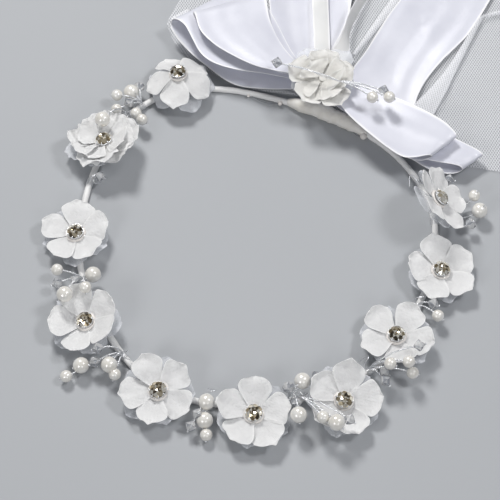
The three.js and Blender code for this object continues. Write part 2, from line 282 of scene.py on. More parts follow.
def tulle_material():
    """A net of crossed threads: its holes are see-through."""
    s = Shader("tulle", (0.96, 0.97, 1.0), 0.55, Sheen_Weight=0.2)
    x, y = s.axes(s.uv())
    threads = []
    for sign in (1, -1):
        slant = s.math("ADD", s.math("MULTIPLY", x, 1.0), s.math("MULTIPLY", y, 0.58 * sign))
        wave = s.math("ABSOLUTE", s.math("SINE", s.math("MULTIPLY", slant, math.pi / NET_PITCH)))
        threads.append(s.math("SUBTRACT", 1.0, wave))
    net = s.math("MAXIMUM", threads[0], threads[1])
    solid = s.math("GREATER_THAN", net, 0.62)
    alpha = s.math("ADD", s.math("MULTIPLY", solid, 0.62), 0.09)
    s.link(alpha, s.base.inputs["Alpha"])
    return s.material


def pearl_material():
    s = Shader("pearl", (0.83, 0.79, 0.73), 0.4, Coat_Weight=1.0, Coat_Roughness=0.15, Coat_IOR=2.2)
    cloud = s.noise(240, 2, s.place())
    tint = s.ramp(cloud, (0.3, (0.77, 0.74, 0.68)), (0.55, (0.85, 0.83, 0.78)), (0.75, (0.8, 0.8, 0.79)))
    s.link(tint, s.base.inputs["Base Color"])
    s.bump(s.noise(1800, 2, s.place()), 0.04, 0.0002)
    return s.material


def crystal_material():
    s = Shader("crystal", (0.97, 0.98, 1.0), 0.03, Transmission_Weight=0.6, IOR=1.6)
    tone = s.node("ShaderNodeAttribute", {"attribute_name": "tone"}).outputs["Fac"]
    glints = s.ramp(tone, (0.15, (0.46, 0.48, 0.52)), (0.4, (0.9, 0.92, 0.94)), (0.6, (1.0, 1.0, 1.0)))
    s.link(glints, s.base.inputs["Base Color"])
    return s.material


def stone_material():
    s = Shader("rhinestone", (0.7, 0.65, 0.5), 0.06, Metallic=0.75, Coat_Weight=1.0, Coat_Roughness=0.02)
    # Painted reflections: each facet's level picks a colour from near black to near white, standing in for
    # the bright and dark reflections in the cut stone.
    tone = s.node("ShaderNodeAttribute", {"attribute_name": "tone"}).outputs["Fac"]
    painted_facet_reflections = s.ramp(tone, (0.0, (0.03, 0.022, 0.012)), (0.35, (0.27, 0.21, 0.12)),
                     (0.6, (0.62, 0.53, 0.36)), (0.9, (1.0, 0.97, 0.88)))
    s.link(painted_facet_reflections, s.base.inputs["Base Color"])
    return s.material


def silver_material():
    s = Shader("silver_wire", (0.9, 0.91, 0.93), 0.25, Metallic=1.0)
    rub = s.noise(2400, 3, s.place())
    shine = s.node("ShaderNodeMapRange", {"To Min": 0.18, "To Max": 0.42}, Value=rub)
    s.link(shine.outputs["Result"], s.base.inputs["Roughness"])
    return s.material


def glue_material():
    s = Shader("glue", (0.84, 0.8, 0.76), 0.3, Subsurface_Weight=0.25, Subsurface_Scale=0.001,
               Subsurface_Radius=(1, 1, 1),
               Coat_Weight=0.3)
    s.bump(s.noise(900, 3, s.place()), 0.3, 0.0004)
    return s.material


def wrap_material(name, shade, light):
    s = Shader(name, light, 0.48, Sheen_Weight=0.2)
    x, y = s.axes(s.uv())
    drift = s.noise(170, 3, s.place())
    s.link(s.ramp(drift, (0.3, shade), (0.7, light)), s.base.inputs["Base Color"])
    slant = s.math("ADD", x, s.math("MULTIPLY", y, 0.4))
    thread = s.math("SINE", s.math("MULTIPLY", slant, 2 * math.pi / 0.35))
    s.bump(s.math("ADD", s.math("MULTIPLY", thread, 0.4), drift), 0.2, 0.0002)
    return s.material


def floor_material():
    s = Shader("floor", (0.5, 0.52, 0.55), 0.8)
    drift = s.noise(3, 3, s.place())
    tint = s.ramp(drift, (0.3, (0.42, 0.435, 0.455)), (0.7, (0.44, 0.455, 0.475)))
    s.link(tint, s.base.inputs["Base Color"])
    return s.material


# The inner colour is painted shade towards the flower's middle; the rim colour is painted light at the petal
# rims.
PETAL = petal_material("petal_fabric", (0.85, 0.85, 0.85), (0.99, 0.99, 0.985))
CREAM_PETAL = petal_material("cream_petal", (0.8, 0.785, 0.74), (0.98, 0.97, 0.94))
ORGANZA = organza_material()
SATIN = satin_material("satin", (0.65, 0.66, 0.74), (0.76, 0.77, 0.845), 0.3)
RIBBON = satin_material("narrow_ribbon", (0.72, 0.73, 0.73), (0.82, 0.82, 0.81), 0.42)
TULLE = tulle_material()
PEARL_SHELL = pearl_material()
CRYSTAL = crystal_material()
STONE = stone_material()
SILVER = silver_material()
GLUE = glue_material()
WRAP = wrap_material("ribbon_wrap", (0.87, 0.865, 0.855), (0.95, 0.945, 0.935))
SLEEVE_WRAP = wrap_material("sleeve_wrap", (0.82, 0.79, 0.72), (0.92, 0.9, 0.86))


# ---------------------------------------------------------------- mesh helpers
def piece(name, points, faces, material, body, stands_for=(), uv=None, slot=None,
          values=None, smooth=True, thickness=0.0, subdivide=0):
    """A mesh from points in millimetres. values is {attribute: one number a point or face}."""
    mesh = bpy.data.meshes.new(name)
    mesh.from_pydata([tuple(float(c) * MM for c in p) for p in points], [], faces)
    mesh.materials.append(material)
    if uv is not None:
        layer = mesh.uv_layers.new(name="cloth")
        for loop in mesh.loops:
            layer.data[loop.index].uv = uv[loop.vertex_index]
    for key, numbers in (values or {}).items():
        domain = "POINT" if len(numbers) == len(points) else "FACE"
        attribute = mesh.attributes.new(key, "FLOAT", domain)
        attribute.data.foreach_set("value", [float(n) for n in numbers])
    mesh.polygons.foreach_set("use_smooth", [smooth] * len(mesh.polygons))
    made = bpy.data.objects.new(name, mesh)
    bpy.context.scene.collection.objects.link(made)
    if thickness:
        solid = made.modifiers.new("thickness", "SOLIDIFY")
        solid.thickness = thickness * MM
        solid.offset = 0
    if subdivide:
        fine = made.modifiers.new("smooth", "SUBSURF")
        fine.levels = fine.render_levels = subdivide
    if body == "veil":
        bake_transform(made)
    else:
        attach(made, body)
    if stands_for:
        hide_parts(*stands_for)
    return made


class Mesh:
    """Points, faces and attributes gathered from several shapes into one piece."""

    def __init__(self):
        self.points, self.faces, self.uv, self.values = [], [], [], {}

    def add(self, points, faces, uv=None, **values):
        start = len(self.points)
        self.points += [tuple(p) for p in points]
        self.faces += [tuple(start + i for i in face) for face in faces]
        self.uv += list(uv) if uv is not None else [(p[0], p[1]) for p in points]
        for key, numbers in values.items():
            self.values.setdefault(key, []).extend(numbers)

    def piece(self, name, material, body, **settings):
        return piece(name, self.points, self.faces, material, body,
                     uv=self.uv, values=self.values, **settings)


def grid_faces(rows, columns, close_rows=False, close_columns=False):
    """Quads over a grid of points stored row by row."""
    faces = []
    for i in range(rows if close_rows else rows - 1):
        for j in range(columns if close_columns else columns - 1):
            a, b = i * columns, ((i + 1) % rows) * columns
            k = (j + 1) % columns
            faces.append((a + j, a + k, b + k, b + j))
    return faces


def smooth_line(points, count):
    """count points evenly along a smooth curve through points."""
    p = np.array(points, float)
    ends = np.vstack([2 * p[0] - p[1], p, 2 * p[-1] - p[-2]])
    fine = []
    for i in range(len(p) - 1):
        a, b, c, d = ends[i:i + 4]
        for t in np.linspace(0, 1, 16, endpoint=False):
            fine.append(0.5 * (2 * b + (c - a) * t + (2 * a - 5 * b + 4 * c - d) * t * t
                               + (3 * b - a - 3 * c + d) * t ** 3))
    fine.append(p[-1])
    fine = np.array(fine)
    run = np.concatenate([[0], np.cumsum(np.linalg.norm(np.diff(fine, axis=0), axis=1))])
    goal = np.linspace(0, run[-1], count)
    return np.column_stack([np.interp(goal, run, fine[:, k]) for k in range(3)])


def tube(mesh, line, radius, sides=8, twist=0.0, ripple=None):
    """A round tube along line added to mesh; ripple(i, j) scales its radius."""
    line = np.array(line, float)
    ahead = np.gradient(line, axis=0)
    ahead /= np.linalg.norm(ahead, axis=1)[:, None]
    side = np.cross(ahead[0], (0, 0, 1) if abs(ahead[0][2]) < 0.9 else (1, 0, 0))
    points, uv = [], []
    travelled = 0.0
    for i, (centre, forward) in enumerate(zip(line, ahead)):
        side = side - forward * side.dot(forward)
        side /= np.linalg.norm(side)
        up = np.cross(forward, side)
        if i:
            travelled += float(np.linalg.norm(centre - line[i - 1]))
        for j in range(sides):
            turn = 2 * math.pi * j / sides + twist * i
            reach = radius * (ripple(i, j) if ripple else 1.0)
            points.append(centre + reach * (math.cos(turn) * side + math.sin(turn) * up))
            uv.append((travelled, radius * 2 * math.pi * j / sides))
    count = len(line)
    faces = grid_faces(count, sides, close_columns=True)
    faces.append(tuple(range(sides - 1, -1, -1)))
    faces.append(tuple((count - 1) * sides + j for j in range(sides)))
    mesh.add(points, faces, uv)


def twisted_pair(mesh, line, strand=0.25, turns_per_mm=0.4):
    """Two thin strands twisted together along line."""
    length = float(np.sum(np.linalg.norm(np.diff(line, axis=0), axis=1)))
    count = max(8, int(length / 0.45))
    middle = smooth_line(line, count)
    ahead = np.gradient(middle, axis=0)
    ahead /= np.linalg.norm(ahead, axis=1)[:, None]
    for start in (0, math.pi):
        path = []
        for i in range(count):
            side = np.cross(ahead[i], (0.3, 0.2, 0.9))
            side /= np.linalg.norm(side)
            up = np.cross(ahead[i], side)
            turn = start + 2 * math.pi * turns_per_mm * i * length / count
            path.append(middle[i] + strand * (math.cos(turn) * side + math.sin(turn) * up))
        tube(mesh, path, strand, 5)


def lathe(mesh, profile, sides, matrix, **values):
    """A profile of (radius, height) turned round local Z and placed by matrix."""
    points, uv = [], []
    for r, z in profile:
        for j in range(sides):
            turn = 2 * math.pi * j / sides
            points.append(matrix @ Vector((r * math.cos(turn), r * math.sin(turn), z)))
            uv.append((r * turn, z))
    mesh.add(points, grid_faces(len(profile), sides, close_columns=True), uv, **values)


def along(direction, place):
    """A matrix that turns local Z to direction and moves to place."""
    turn = Vector(direction).to_track_quat("Z", "Y").to_matrix().to_4x4()
    return Matrix.Translation(Vector(place)) @ turn


# ---------------------------------------------------------------- the ring's path
def ring_path():
    """Fine points along the ring's closed centre line, with the distance run at each."""
    bends = [np.array((r * math.cos(math.radians(a)), r * math.sin(math.radians(a)), RING_HEIGHT))
             for a, r in RING_BENDS]
    count = len(bends)
    fine = []
    for i in range(count):
        p = [bends[(i + k - 1) % count] for k in range(4)]
        knots = [0.0]
        for a, b in zip(p, p[1:]):
            knots.append(knots[-1] + float(np.linalg.norm(b - a)) ** 0.5)
        for t in np.linspace(knots[1], knots[2], 24, endpoint=False):
            level = list(p)
            for span in (1, 2, 3):
                level = [((knots[k + span] - t) * level[k] + (t - knots[k]) * level[k + 1])
                         / (knots[k + span] - knots[k]) for k in range(len(level) - 1)] \
                    if span == 1 else blend_level(level, knots, t, span)
            fine.append(level[0])
    return np.array(fine)


def blend_level(level, knots, t, span):
    """One step of the curve's blending, on the middle stretch of the knots."""
    if span == 2:
        return [((knots[k + 2] - t) * level[k] + (t - knots[k]) * level[k + 1])
                / (knots[k + 2] - knots[k]) for k in range(2)]
    return [((knots[2] - t) * level[0] + (t - knots[1]) * level[1]) / (knots[2] - knots[1])]


RING = ring_path()
RING_ANGLES = np.degrees(np.arctan2(RING[:, 1], RING[:, 0]))


def ring_at(angle):
    """The ring's centre and its direction at an angle."""
    miss = np.abs((RING_ANGLES - angle + 180) % 360 - 180)
    i = int(np.argmin(miss))
    ahead = RING[(i + 1) % len(RING)] - RING[i - 1]
    return Vector(RING[i]), Vector(ahead).normalized()


def ring_stretch(start, end, step=0.5):
    """Points along the ring from one angle round to another, step apart."""
    angles = np.arange(start, end, 0.25)
    line = np.array([ring_at(a)[0] for a in angles])
    length = float(np.sum(np.linalg.norm(np.diff(line, axis=0), axis=1)))
    return smooth_line(line[::3], int(length / step))


# ---------------------------------------------------------------- the ring
def ring():
    wrap = Mesh()
    line = ring_stretch(SLEEVE[1] - 360, SLEEVE[0], 0.55)

    def overlap(i, j):
        turn = (i * 0.55 / WRAP_PITCH + j / 16) % 1.0
        return 0.965 + 0.075 * turn + 0.01 * math.sin(i * 0.35)
    tube(wrap, line, WRAP_RADIUS, 16, ripple=overlap)
    wrap.piece("ring_ribbon", WRAP, "crown", stands_for=["ring_ribbon_wrap"], slot="ribbon_wrap")

    sleeve = Mesh()
    line = ring_stretch(SLEEVE[0] - 1, SLEEVE[1] + 1, 0.5)
    count = len(line)
    line[:, 2] += 2.3 * np.sin(np.linspace(0, math.pi, count)) ** 0.6

    def swell(i, j):
        along_it = i / (count - 1)
        body = 0.46 + 0.54 * math.sin(math.pi * along_it) ** 0.6
        turn = (i * 0.5 / 6.0 + j / 20) % 1.0
        lump = 0.1 * crumple((i * 0.5, 2 * math.cos(j * 0.314), 2 * math.sin(j * 0.314)), 4)
        return body * (0.95 + 0.1 * turn + 0.05 * math.sin(i * 0.21 + j * 0.5) + lump)
    tube(sleeve, line, 4.0, 20, ripple=swell)
    sleeve.piece("joint_sleeve", SLEEVE_WRAP, "crown", stands_for=["ring_joint_sleeve"],
                 slot="ribbon_wrap")

    glue = Mesh()
    chance = random.Random(5)
    for angle, size in ((69, 1.9), (101, 1.3), (80, 1.0), (94, 0.9), (112, 0.8)):
        centre, _ = ring_at(angle)
        inward = Vector((-centre.x, -centre.y, 0)).normalized()
        spot = centre + inward * 2.2 + Vector((0, 0, 0.4))
        lumps = [(size * math.sin(t) * (0.85 + 0.3 * chance.random()), -size * math.cos(t))
                 for t in np.linspace(0.05, math.pi - 0.05, 8)]
        lathe(glue, lumps, 12, along(inward, spot))
    glue.piece("glue_drops", GLUE, "crown", slot="ribbon_wrap", subdivide=1)

    thread = Mesh()
    for start, end, drop in ((98, 113, 3.5), (66, 76, 3.0)):
        a, b = ring_at(start)[0], ring_at(end)[0]
        middle = (a + b) / 2
        middle -= Vector((middle.x, middle.y, 0)).normalized() * drop
        tube(thread, smooth_line([a, middle, b], 24), 0.16, 6)
    thread.piece("nylon_thread", CRYSTAL, "crown", slot="ribbon_wrap")
    frame_wire = bpy.data.objects["ring_wire"]
    for slot in frame_wire.material_slots:
        slot.material = SILVER


# ---------------------------------------------------------------- flowers
def stand(angle, radius, height, tilt, turn):
    place = Matrix.Translation((radius * math.cos(math.radians(angle)),
                                radius * math.sin(math.radians(angle)), height))
    return (place @ Matrix.Rotation(math.radians(angle), 4, "Z")
            @ Matrix.Rotation(math.radians(tilt), 4, "Y") @ Matrix.Rotation(math.radians(turn), 4, "Z"))


PETAL_STEPS = (0, 0.1, 0.2, 0.3, 0.4, 0.5, 0.6, 0.69, 0.77, 0.84, 0.9, 0.95, 0.98, 1.0)
PETAL_COLUMNS = 13
PETAL_WIDTHS = ((0, 1.6), (0.15, 3.3), (0.3, 5.2), (0.45, 6.8), (0.58, 7.9), (0.7, 8.2), (0.8, 7.6),
                (0.89, 6.2), (0.95, 4.5), (0.98, 3.0), (1.0, 1.1))


def crumple(place, size):
    """Smooth random height, about -1 to 1, whose waves are size millimetres long."""
    return noise.noise(Vector(place) / size)


def add_petal(mesh, matrix, chance, turn, length, width, base, dish, curl, ragged=0.0, floor=0.6, mess=0.0,
              wave=1.0):
    """One petal: a spoon-shaped sheet from the flower's middle to its rounded rim."""
    lift = dish + chance.uniform(-0.1, 0.45) * wave + mess * chance.uniform(-0.6, 1.0)
    lean = chance.uniform(0.04, 0.16) + mess * chance.uniform(-0.3, 0.3)
    width *= chance.uniform(0.93, 1.08)
    hollow = wave * chance.uniform(0.7, 1.5)
    crease = chance.uniform(0.0, 0.35)
    patch = Vector([chance.uniform(0, 90) for _ in range(3)])
    points, uv, edge = [], [], []
    spin = Matrix.Rotation(turn, 4, "Z")
    for v in PETAL_STEPS:
        half = float(np.interp(v, *zip(*PETAL_WIDTHS)))
        for j in range(PETAL_COLUMNS):
            u = -1 + 2 * j / (PETAL_COLUMNS - 1)
            rim = max(v, abs(u) ** 3)
            tooth = ragged * chance.uniform(-1, 1) if rim > 0.9 else 0.0
            waver = 0.06 * crumple(patch + Vector((3 * u, 7 * v, 2)), 1.5)
            across = u * width * half * (1 + 0.2 * tooth + waver)
            reach = 1.8 + (length - 1.8) * v * (1 - 0.07 * u * u * v) + tooth
            reach += 1.2 * v * crumple(patch + Vector((across, 0, 5)), 4.5)
            reach += 0.6 * v * crumple(patch + Vector((across, 9, 5)), 1.6)
            flat = patch + Vector((across, reach, 0))
            z = base + 4.2 * lift * v ** 1.7 + lean * across
            z += hollow * u * u * math.sin(math.pi * min(1, 0.15 + 0.85 * v))
            z -= crease * math.exp(-(u / 0.2) ** 2) * math.sin(math.pi * v)
            z += curl * max(0.0, v - 0.7) ** 2 * 14 * (0.7 + crumple(flat, 7))
            z += wave * (0.3 + (1.5 + 1.6 * mess) * v) * crumple(flat, 6.0)
            z += wave * (0.5 + 0.7 * mess) * crumple(flat, 2.3)
            point = matrix @ (spin @ Vector((reach, across, z)))
            point.z = max(point.z, floor + 0.4 * v)
            points.append(point)
            uv.append((across, reach))
            # On the petal fabric this edge value drives the painted shade (low, towards the middle) and the
            # painted rim light (high); on organza it thickens the hem.
            edge.append(rim ** 2)
    mesh.add(points, grid_faces(len(PETAL_STEPS), PETAL_COLUMNS), uv, edge=edge)


def add_disc(mesh, matrix, radius, z, edge):
    points = [matrix @ Vector((0, 0, z))]
    uv = [(0, 0)]
    for ring_radius in (0.5 * radius, radius):
        for j in range(16):
            turn = 2 * math.pi * j / 16
            x, y = ring_radius * math.cos(turn), ring_radius * math.sin(turn)
            points.append(matrix @ Vector((x, y, z + 0.02 * ring_radius)))
            uv.append((x, y))
    faces = [(0, 1 + j, 1 + (j + 1) % 16) for j in range(16)]
    faces += [(1 + j, 17 + j, 17 + (j + 1) % 16, 1 + (j + 1) % 16) for j in range(16)]
    # On the petal fabric the disc's low edge value gives it the petals' inner painted shade.
    mesh.add(points, faces, uv, edge=[edge] * len(points))


def blossom(name, matrix, dish, chance, petals=PETAL, layers=((5, 1.0, 0.9, 0.0),), curl=1.0,
            ragged=0.12, mess=0.0):
    """The petal layers (count, size, base height, turn) and the sheer layer beneath."""
    top = Mesh()
    for count, size, base, turn in layers:
        for k in range(count):
            add_petal(top, matrix, chance, turn + 2 * math.pi * k / count + chance.uniform(-0.07, 0.07),
                      PETAL_RADIUS * size * chance.uniform(0.94, 1.04), size * 5 / count * 1.02,
                      base + 0.25 * (k % 2), dish, curl * chance.uniform(-0.6, 1.0), ragged, mess=mess)
        add_disc(top, matrix, 4.2 * size, base + 0.1, 0.15)
    top.piece(f"{name}_petal_layer", petals, "crown", stands_for=[f"{name}_petals"], slot="petal_fabric",
              thickness=0.22, subdivide=1)
    under = Mesh()
    for k in range(5):
        turn = math.pi / 5 + 2 * math.pi * k / 5 + chance.uniform(-0.12, 0.12)
        add_petal(under, matrix, chance, turn,
                  PETAL_RADIUS * chance.uniform(0.9, 1.03) * (1.0 + 0.5 * mess * math.cos(turn)), 0.9, -0.8,
                  0.3 * dish if dish > 0 else 1.25 * dish, chance.uniform(-0.3, 0.5), ragged + 0.3,
                  floor=0.4, wave=0.45)
    add_disc(under, matrix, 4.5, -0.2, 0.2)
    under.piece(f"{name}_organza_layer", ORGANZA, "crown", stands_for=[f"{name}_organza"], slot="organza",
                thickness=0.12, subdivide=1)


def rhinestone(name, matrix, chance):
    """A foiled chaton in a claw cup, with the glue that holds it."""
    stone = Mesh()
    rings = [(0.0, 5.5, 1), (1.1, 5.75, 8), (2.2, 5.9, 8), (3.35, 5.2, 8), (4.15, 4.25, 16)]
    points = []
    starts = []
    for row, (radius, height, count) in enumerate(rings):
        starts.append(len(points))
        shift = {1: 0.5, 3: 0.5}.get(row, 0.0)
        for j in range(count):
            turn = 2 * math.pi * (j + shift) / count
            points.append(matrix @ Vector((radius * math.cos(turn), radius * math.sin(turn), height)))
    hub, inner, table, star, girdle = starts
    faces = []
    for j in range(8):
        k = (j + 1) % 8
        faces.append((hub, inner + j, inner + k))
        faces.append((inner + j, table + k, inner + k))
        faces.append((table + j, table + k, inner + j))
        faces.append((table + j, star + j, table + k))
        faces.append((table + k, star + j, girdle + (2 * j + 2) % 16, star + k))
        faces.append((star + j, girdle + 2 * j, girdle + 2 * j + 1))
        faces.append((star + j, girdle + 2 * j + 1, girdle + (2 * j + 2) % 16))
    # Each facet gets a random level for the stone's painted reflections, dark or bright.
    facet_reflection_levels = [chance.choice((0.05, 0.15, 0.35, 0.5, 0.65, 0.8, 0.95, 1.0)) for _ in faces]
    stone.add(points, faces, tone=facet_reflection_levels)
    stone.piece(f"{name}_stone", STONE, "crown", stands_for=[f"{name}_rhinestone"], slot="rhinestone",
                smooth=False)
    cup = Mesh()
    lathe(cup, [(1.2, 0.8), (1.3, 2.3), (3.4, 2.6), (4.1, 3.2), (4.3, 4.05), (4.2, 4.15), (4.0, 4.0),
                (3.4, 3.2)], 32, matrix)
    for k in range(8):
        turn = 2 * math.pi * (k + 0.5) / 8
        out = Vector((math.cos(turn), math.sin(turn), 0))
        claw = [matrix @ (out * 4.2 + Vector((0, 0, 3.3))), matrix @ (out * 4.35 + Vector((0, 0, 4.3))),
                matrix @ (out * 3.9 + Vector((0, 0, 4.8))), matrix @ (out * 3.6 + Vector((0, 0, 4.95)))]
        tube(cup, smooth_line(claw, 8), 0.26, 8)
    cup.piece(f"{name}_claw_cup", SILVER, "crown", slot="wire")
    halo = Mesh()
    rows, sides = 28, 8
    points = []
    for i in range(rows):
        turn = 2 * math.pi * i / rows
        swell = 1.0 + 0.22 * math.sin(3 * turn + chance.uniform(0, 0.6)) + chance.uniform(-0.08, 0.08)
        for j in range(sides):
            lap = 2 * math.pi * j / sides
            reach = 4.3 + 0.8 * swell * math.cos(lap)
            points.append(matrix @ Vector((reach * math.cos(turn), reach * math.sin(turn),
                                           1.9 + 0.7 * swell * math.sin(lap))))
    halo.add(points, grid_faces(rows, sides, close_rows=True, close_columns=True))
    halo.piece(f"{name}_glue_ring", GLUE, "crown", slot="rhinestone", subdivide=1)


def flowers():
    for index, (angle, radius, height, tilt, turn, dish) in enumerate(FLOWERS, 1):
        name = f"flower_{index:02d}"
        chance = random.Random(100 + index)
        matrix = stand(angle, radius, height, tilt, turn)
        if index == RUFFLED:
            layers = ((5, 1.02, 0.6, 0.3), (5, 0.92, 1.2, 0.9), (4, 0.76, 1.9, 0.1))
            blossom(name, matrix, dish, chance, layers=layers, ragged=0.6, mess=0.7)
        else:
            blossom(name, matrix, dish, chance)
        rhinestone(name, matrix, chance)
    angle, radius, height, tilt, turn, dish = CENTRE_FLOWER
    layers = ((5, 0.98, 0.6, 0.0), (4, 0.8, 1.4, 0.5), (2, 0.5, 2.4, 0.9))
    blossom("flower_centre", stand(angle, radius, height, tilt, turn), dish, random.Random(77),
            petals=CREAM_PETAL, layers=layers, curl=1.2, ragged=0.4, mess=0.6)


# ---------------------------------------------------------------- sprays
def add_pearl(mesh, place, direction, radius):
    """A drilled bead: a ball whose ends dip in to the hole."""
    profile = [(radius * 0.07, -radius * 0.86)]
    for t in np.linspace(0.14, math.pi - 0.14, 15):
        profile.append((radius * math.sin(t), -radius * math.cos(t)))
    profile.append((radius * 0.07, radius * 0.86))
    lathe(mesh, profile, 24, along(direction, place))


def add_crystal(mesh, place, direction, radius):
    """A cut bicone: three rows of facets to each end, with the hole's small flats."""
    matrix = along(direction, place)
    rings = [(0.12, -0.96, 0.0), (0.62, -0.5, 0.5), (1.0, -0.04, 0.0), (1.0, 0.04, 0.0), (0.62, 0.5, 0.5),
             (0.12, 0.96, 0.0)]
    points = []
    for reach, height, shift in rings:
        for j in range(8):
            turn = 2 * math.pi * (j + shift) / 8
            points.append(matrix @ Vector((reach * radius * math.cos(turn), reach * radius * math.sin(turn),
                                           height * radius)))
    faces = []
    for row in range(5):
        a, b = row * 8, (row + 1) * 8
        shifted = rings[row + 1][2] - rings[row][2]
        for j in range(8):
            k, h = (j + 1) % 8, (j - 1) % 8
            if shifted == 0:
                faces.append((a + j, a + k, b + k, b + j))
            elif shifted > 0:
                faces += [(a + j, a + k, b + j), (a + j, b + j, b + h)]
            else:
                faces += [(a + j, a + k, b + k), (a + j, b + k, b + j)]
    faces.append(tuple(range(7, -1, -1)))
    faces.append(tuple(40 + j for j in range(8)))
    mesh.add(points, faces, tone=[0.5 + 0.5 * math.sin(2.4 * k + place.x) for k in range(len(faces))])


def spray_pieces(name, root, beads, low=False, extra=()):
    wires, pearls, crystals = Mesh(), Mesh(), Mesh()
    for kind, x, y, z in beads:
        tip = Vector((x, y, z))
        bend = root.lerp(tip, 0.9 if low else 0.25)
        bend.z = root.z - 0.6 if low else max(root.z, tip.z) + 3
        line = [root.lerp(bend, k / 8).lerp(bend.lerp(tip, k / 8), k / 8) for k in range(9)]
        direction = (line[-1] - line[-2]).normalized()
        radius = CRYSTAL_RADIUS if kind == "C" else PEARL[kind]
        line[-1] = tip + direction * (radius + 0.5)
        twisted_pair(wires, line)
        if kind == "C":
            add_crystal(crystals, tip, direction, radius)
        else:
            add_pearl(pearls, tip, direction, radius)
        end = tip + direction * (radius + 0.25)
        lathe(wires, [(0.05, -0.3), (0.5, -0.25), (0.6, 0.05), (0.4, 0.3), (0.05, 0.35)], 10,
              along(direction, end))
    for line in extra:
        tube(wires, smooth_line(line, 30), 0.22, 6)
    wires.piece(f"{name}_wires", SILVER, name, stands_for=[name], slot="wire")
    if pearls.points:
        pearls.piece(f"{name}_pearls", PEARL_SHELL, name, slot="pearl")
    if crystals.points:
        crystals.piece(f"{name}_crystals", CRYSTAL, name, slot="pearl", smooth=False)


def curl(root, direction, size, height):
    """A small loop of spare wire standing off the binding."""
    side = Vector((-direction.y, direction.x, 0))
    return [root + direction * (size * 0.9 * t) + side * (size * 0.35 * math.sin(7 * t))
            + Vector((0, 0, height * math.sin(math.pi * t) + 0.4 * math.cos(9 * t)))
            for t in (k / 8 for k in range(9))]


def sprays():
    clear = WRAP_RADIUS + 1.1
    bindings = Mesh()
    for index, (angle, leaving, beads) in enumerate(SPRAYS, 1):
        centre, ahead = ring_at(angle)
        root = centre.copy()
        outward = Vector((centre.x, centre.y, 0)).normalized()
        if leaving == "low":
            root += outward * clear
        else:
            root.z += clear
        extra = [curl(root, -outward, 7, 4)] if index % 3 == 0 else [curl(root, ahead, 6, 5)]
        spray_pieces(f"spray_{index:02d}", root, beads, leaving == "low", extra)
        coil = []
        up = Vector((0, 0, 1))
        for t in (k / 59 for k in range(60)):
            turn = 2 * math.pi * BINDING_TURNS * t
            around = outward * math.cos(turn) + up * math.sin(turn)
            coil.append(centre + ahead * (BINDING_LENGTH * t - BINDING_LENGTH / 2) + around * BINDING_RADIUS)
        coil = [Vector((p.x, p.y, max(p.z, 0.25))) for p in coil]
        tube(bindings, coil, 0.2, 6)
    bindings.piece("spray_bindings", SILVER, "crown", slot="wire")
    root = Vector((13, 91, 28))
    cross = [(-15, 92, 28), (-6, 92.5, 28.4), (4, 91, 28), tuple(root)]
    beads = [("S", 32, 88, 27), ("S", 40, 91, 27), ("C", 36, 94, 27), ("C", -21, 92, 27)]
    spray_pieces("spray_centre", root, beads, extra=[cross])


# ---------------------------------------------------------------- bow, tails and veil
RIBBON_ROWS = 72
RIBBON_ACROSS = (0, 0.012, 0.03, 0.07, 0.14, 0.23, 0.32, 0.41, 0.5, 0.59, 0.68, 0.77, 0.86, 0.93, 0.97,
                 0.988, 1)


def ribbon(name, near, far, bulge, body, stands_for, material, slot, ripple=0.0, seed=1, thickness=0.28):
    """A ribbon between two edge lines, arched between them by bulge(t) millimetres."""
    rows, columns = RIBBON_ROWS, len(RIBBON_ACROSS)
    a, b = smooth_line(near, rows), smooth_line(far, rows)
    middle = (a + b) / 2
    ahead = np.gradient(middle, axis=0)
    mesh = Mesh()
    chance = random.Random(seed)
    phases = [chance.uniform(0, 6) for _ in range(3)]
    width = float(np.mean(np.linalg.norm(b - a, axis=1)))
    run = np.concatenate([[0], np.cumsum(np.linalg.norm(np.diff(middle, axis=0), axis=1))])
    points, uv, edge = [], [], []
    for i in range(rows):
        across = b[i] - a[i]
        normal = np.cross(ahead[i], across)
        normal /= np.linalg.norm(normal)
        t = i / (rows - 1)
        for s in RIBBON_ACROSS:
            lift = bulge(t) * math.sin(math.pi * s)
            fold = ripple * sum(math.sin((3.5 + 2.3 * k) * s * math.pi + phase + 2.2 * t * (k + 1))
                                for k, phase in enumerate(phases)) / 3 * math.sin(math.pi * t)
            points.append(a[i] + across * s + normal * (lift + fold))
            uv.append((run[i], s * width))
            # This edge mask gives the satin's borders a painted highlight and raises its selvage.
            edge.append(max(0.0, 1 - min(s, 1 - s) * width / 1.1))
    mesh.add(points, grid_faces(rows, columns), uv, edge=edge)
    return mesh.piece(name, material, body, stands_for=stands_for, slot=slot, thickness=thickness,
                      subdivide=1)


